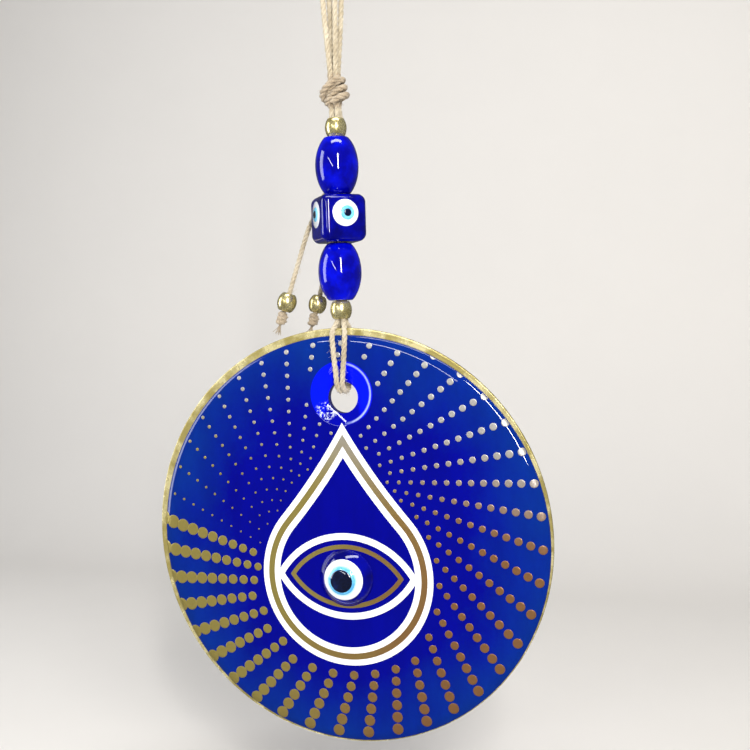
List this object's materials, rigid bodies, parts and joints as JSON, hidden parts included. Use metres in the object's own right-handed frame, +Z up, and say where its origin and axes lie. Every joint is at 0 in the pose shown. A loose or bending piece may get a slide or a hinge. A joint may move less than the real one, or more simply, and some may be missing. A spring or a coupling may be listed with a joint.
{
  "type": "evil eye wall ornament",
  "caption": "Blue glass evil eye disc with a gilt edge, a printed drop and foil dots, hung on a beaded twine strand with a hanging loop and two tails.",
  "frame": {"origin": "centre of the nail that both hanging loops go over", "axes": "+Z up along the hanging strand, the printed face of the disc looks along -Y, +X to the right seen from the front"},
  "size_m": [0.1264, 0.0201, 0.244],
  "materials": {
    "twine": "two-ply cotton twine, slightly fuzzy",
    "gold_bead": "polished gold-coloured metal",
    "blue_bead_glass": "polished opaque cobalt glass",
    "cobalt_glass": "polished cobalt glass",
    "eye_glass": "polished cobalt glass",
    "gilt": "bright fired gilding",
    "white_enamel": "glossy raised enamel print",
    "gold_foil": "embossed gold foil print",
    "fused_white": "opaque fused glass",
    "fused_blue": "opaque fused glass",
    "fused_sky": "opaque fused glass",
    "fused_black": "opaque fused glass"
  },
  "bodies": {
    "hanger": {"hanging_loop_front": "twine", "hanging_loop_back": "twine"},
    "knot": {"main_knot": "twine"},
    "neck": {"strand_neck": "twine"},
    "strand": {"strand_twine": "twine"},
    "stack": {"spacer_lower": "gold_bead"},
    "oval_lower": {"oval_bead_lower": "blue_bead_glass"},
    "square": {"square_bead": "blue_bead_glass", "square_bead_whites": "fused_white", "square_bead_blues": "fused_blue", "square_bead_pupils": "fused_black"},
    "oval_upper": {"oval_bead_upper": "blue_bead_glass"},
    "spacer_top": {"spacer_upper": "gold_bead"},
    "hole_loops": {"hole_loop_left": "twine", "hole_loop_right": "twine"},
    "disc": {"glass_disc": "cobalt_glass", "gilt_rim": "gilt", "drop_white_outer": "white_enamel", "drop_gold_line": "gold_foil", "drop_white_inner": "white_enamel", "lid_lines": "white_enamel", "almond_line": "gold_foil", "foil_dots": "gold_foil", "glass_eye": "eye_glass", "eye_white": "fused_white", "eye_sky_ring": "fused_sky", "eye_pupil": "fused_black"},
    "tail_long": {"tail_long": "twine", "tail_long_knot": "twine"},
    "tail_long_bead": {"tail_long_bead": "gold_bead"},
    "tail_short": {"tail_short": "twine", "tail_short_knot": "twine"},
    "tail_short_bead": {"tail_short_bead": "gold_bead"}
  },
  "joints": [
    {"name": "sway", "type": "hinge", "parent": "hanger", "child": "knot", "pos_m": [0, 0, -0.0376], "axis": [0, 1, 0], "range_deg": [-35, 35]},
    {"name": "swing", "type": "hinge", "parent": "knot", "child": "neck", "pos_m": [0, 0, -0.048], "axis": [1, 0, 0], "range_deg": [-30, 30]},
    {"name": "twist", "type": "hinge", "parent": "neck", "child": "strand", "pos_m": [0, 0, -0.0531], "axis": [0, 0, 1], "range_deg": [-90, 90]},
    {"name": "stack_slide", "type": "slide", "parent": "strand", "child": "stack", "axis": [0, 0, 1], "range_m": [0, 0.0012]},
    {"name": "oval_lower_spin", "type": "hinge", "parent": "stack", "child": "oval_lower", "pos_m": [0, 0, -0.0964], "axis": [0, 0, 1], "continuous": true},
    {"name": "square_spin", "type": "hinge", "parent": "stack", "child": "square", "pos_m": [0, 0, -0.0806], "axis": [0, 0, 1], "continuous": true},
    {"name": "oval_upper_spin", "type": "hinge", "parent": "stack", "child": "oval_upper", "pos_m": [0, 0, -0.0648], "axis": [0, 0, 1], "continuous": true},
    {"name": "spacer_top_spin", "type": "hinge", "parent": "stack", "child": "spacer_top", "pos_m": [0, 0, -0.0534], "axis": [0, 0, 1], "continuous": true},
    {"name": "loop_swing", "type": "hinge", "parent": "strand", "child": "hole_loops", "pos_m": [0, 0, -0.1107], "axis": [1, 0, 0], "range_deg": [-25, 20]},
    {"name": "rock", "type": "hinge", "parent": "hole_loops", "child": "disc", "pos_m": [0, 0, -0.1306], "axis": [0, 1, 0], "range_deg": [-10, 10]},
    {"name": "tail_long_swing", "type": "hinge", "parent": "strand", "child": "tail_long", "pos_m": [-0.0026, 0.0031, -0.051], "axis": [0, 1, 0], "range_deg": [0, 40]},
    {"name": "tail_long_bead_slide", "type": "slide", "parent": "tail_long", "child": "tail_long_bead", "axis": [0.2922, 0.1047, 0.9506], "range_m": [0, 0.015]},
    {"name": "tail_short_swing", "type": "hinge", "parent": "strand", "child": "tail_short", "pos_m": [0.0003, 0.004, -0.051], "axis": [1, 0, 0], "range_deg": [0, 40]},
    {"name": "tail_short_bead_slide", "type": "slide", "parent": "tail_short", "child": "tail_short_bead", "axis": [0.2309, 0.1385, 0.9631], "range_m": [0, 0.01]}
  ]
}
